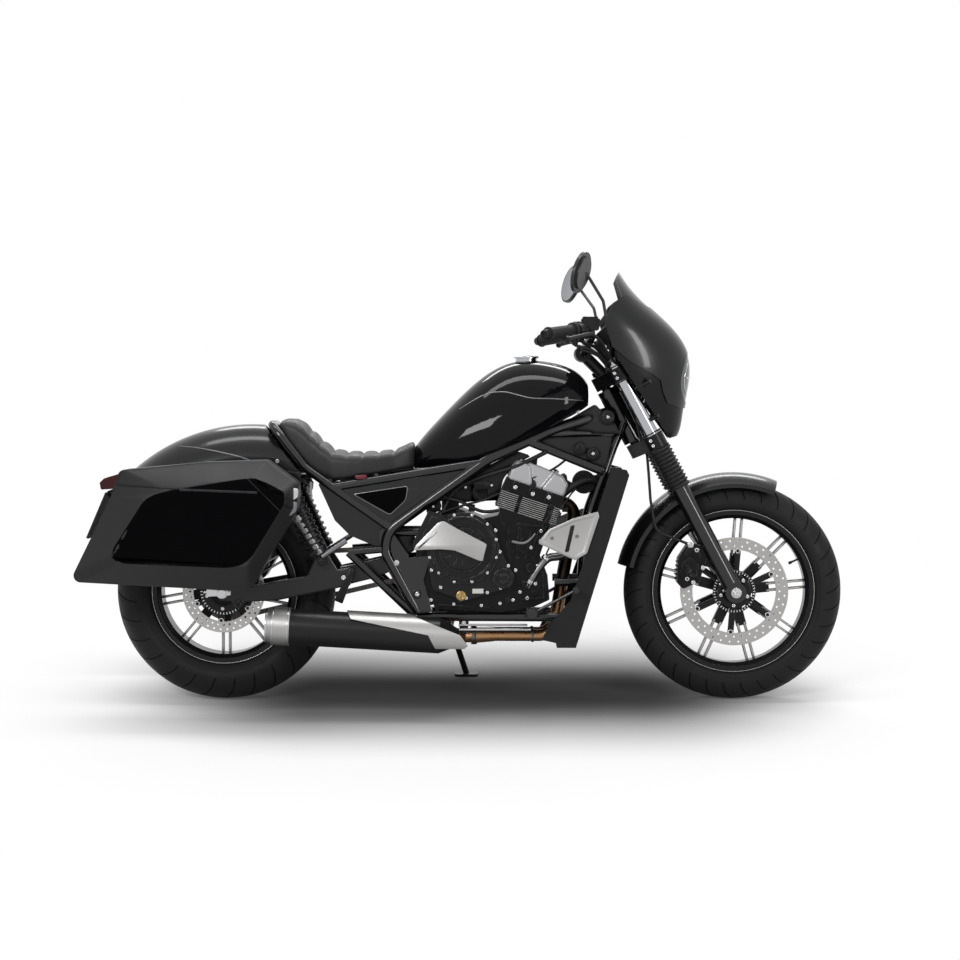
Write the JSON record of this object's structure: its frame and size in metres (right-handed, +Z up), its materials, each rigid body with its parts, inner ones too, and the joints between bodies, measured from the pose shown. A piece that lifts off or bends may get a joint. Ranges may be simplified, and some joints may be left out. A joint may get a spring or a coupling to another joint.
{
  "type": "cruiser motorcycle",
  "caption": "Cruiser motorcycle with hard side bags, fork-mounted fairing and a chain-driven rear wheel, leaning on its side stand.",
  "frame": {"origin": "the floor point midway between the axles, on the line the upright machine's centre plane meets the floor", "axes": "+X forward, +Y to the rider's left, +Z up; the machine leans 9 degrees towards +Y on its side stand"},
  "size_m": [2.2118, 0.9532, 1.341],
  "materials": {
    "gloss_paint": "deep gloss black",
    "satin_paint": "satin black",
    "graphite_paint": "satin graphite",
    "engine_black": "semi-matte black over castings",
    "machined_fins": "black with machined edges",
    "silver_casting": "satin silver",
    "fork_chrome": "hard chrome",
    "brushed": "brushed",
    "pipe_bronze": "heat-tinted steel",
    "muffler_black": "heat-resistant matte black",
    "wheel_black": "gloss black casting",
    "disc_steel": "ground steel",
    "tyre": "matte",
    "rubber_black": "matte",
    "seat_cover": "grained",
    "matte_plastic": "fine grained",
    "bag_plastic": "fine grained",
    "gloss_plastic": "piano black",
    "red_lens": "red lens",
    "smoke_screen": "smoked",
    "lamp_glass": "clear lens",
    "mirror_shell": "satin",
    "steel_parts": "zinc plated",
    "chain_steel": "oiled"
  },
  "bodies": {
    "chassis": {"frame": "satin_paint", "swingarm": "satin_paint", "rear_axle": "steel_parts", "rear_caliper": "engine_black", "shock_absorbers": "graphite_paint", "drive_chain": "chain_steel", "engine_crankcase": "engine_black", "engine_barrel": "machined_fins", "engine_head_cover": "silver_casting", "clutch_cover": "engine_black", "clutch_plate": "silver_casting", "alternator_cover": "engine_black", "radiator_core": "engine_black", "radiator_shroud": "matte_plastic", "radiator_plates": "silver_casting", "exhaust_header": "pipe_bronze", "muffler": "muffler_black", "muffler_shield": "brushed", "fuel_tank": "gloss_paint", "tank_cap": "brushed", "seat": "seat_cover", "tail_cowl": "gloss_paint", "rear_fender": "matte_plastic", "tail_lamp": "red_lens", "plate_holder": "matte_plastic", "saddlebag_right": "bag_plastic", "saddlebag_left": "bag_plastic", "side_covers": "matte_plastic", "head_panels": "matte_plastic", "foot_controls": "satin_paint", "horn": "engine_black", "muffler_tip": "brushed"},
    "steering": {"front_axle": "steel_parts", "fork_sliders": "satin_paint", "fork_tubes": "fork_chrome", "fork_gaiters": "rubber_black", "triple_clamps": "satin_paint", "front_fender": "gloss_paint", "front_caliper": "engine_black", "brake_hose": "rubber_black", "handlebar": "satin_paint", "grips": "rubber_black", "switchgear": "matte_plastic", "mirrors": "mirror_shell", "fairing": "graphite_paint", "windscreen": "smoke_screen", "headlamp": "lamp_glass", "instrument": "gloss_plastic", "fairing_chin": "gloss_paint"},
    "front_wheel": {"front_tyre": "tyre", "front_rim": "wheel_black", "front_disc": "disc_steel"},
    "rear_wheel": {"rear_tyre": "tyre", "rear_rim": "wheel_black", "rear_disc": "disc_steel", "rear_sprocket": "steel_parts"},
    "side_stand": {"side_stand": "satin_paint"},
    "bag_lid_right": {"bag_lid_right": "bag_plastic"},
    "bag_lid_left": {"bag_lid_left": "bag_plastic"}
  },
  "joints": [
    {"name": "steering_turn", "type": "hinge", "parent": "chassis", "child": "steering", "pos_m": [0.41917, 0.12939, 0.8169], "axis": [-0.4695, 0.1381, 0.8721], "range_deg": [-35, 35]},
    {"name": "front_wheel_spin", "type": "hinge", "parent": "steering", "child": "front_wheel", "pos_m": [0.745, 0.05018, 0.31684], "axis": [0, 0.9877, -0.1564], "continuous": true},
    {"name": "rear_wheel_spin", "type": "hinge", "parent": "chassis", "child": "rear_wheel", "pos_m": [-0.745, 0.0504, 0.31819], "axis": [0, 0.9877, -0.1564], "continuous": true},
    {"name": "side_stand_swing", "type": "hinge", "parent": "chassis", "child": "side_stand", "pos_m": [-0.09, 0.17373, 0.18915], "axis": [0.165, 0.8803, 0.4447], "range_deg": [0, 92]},
    {"name": "bag_lid_right_swing", "type": "hinge", "parent": "chassis", "child": "bag_lid_right", "pos_m": [-0.73, -0.29343, 0.67876], "axis": [0.9993, -0.0059, -0.0372], "range_deg": [0, 80]},
    {"name": "bag_lid_left_swing", "type": "hinge", "parent": "chassis", "child": "bag_lid_left", "pos_m": [-0.73, 0.48882, 0.55486], "axis": [-0.9993, 0.0059, 0.0372], "range_deg": [0, 80]}
  ]
}
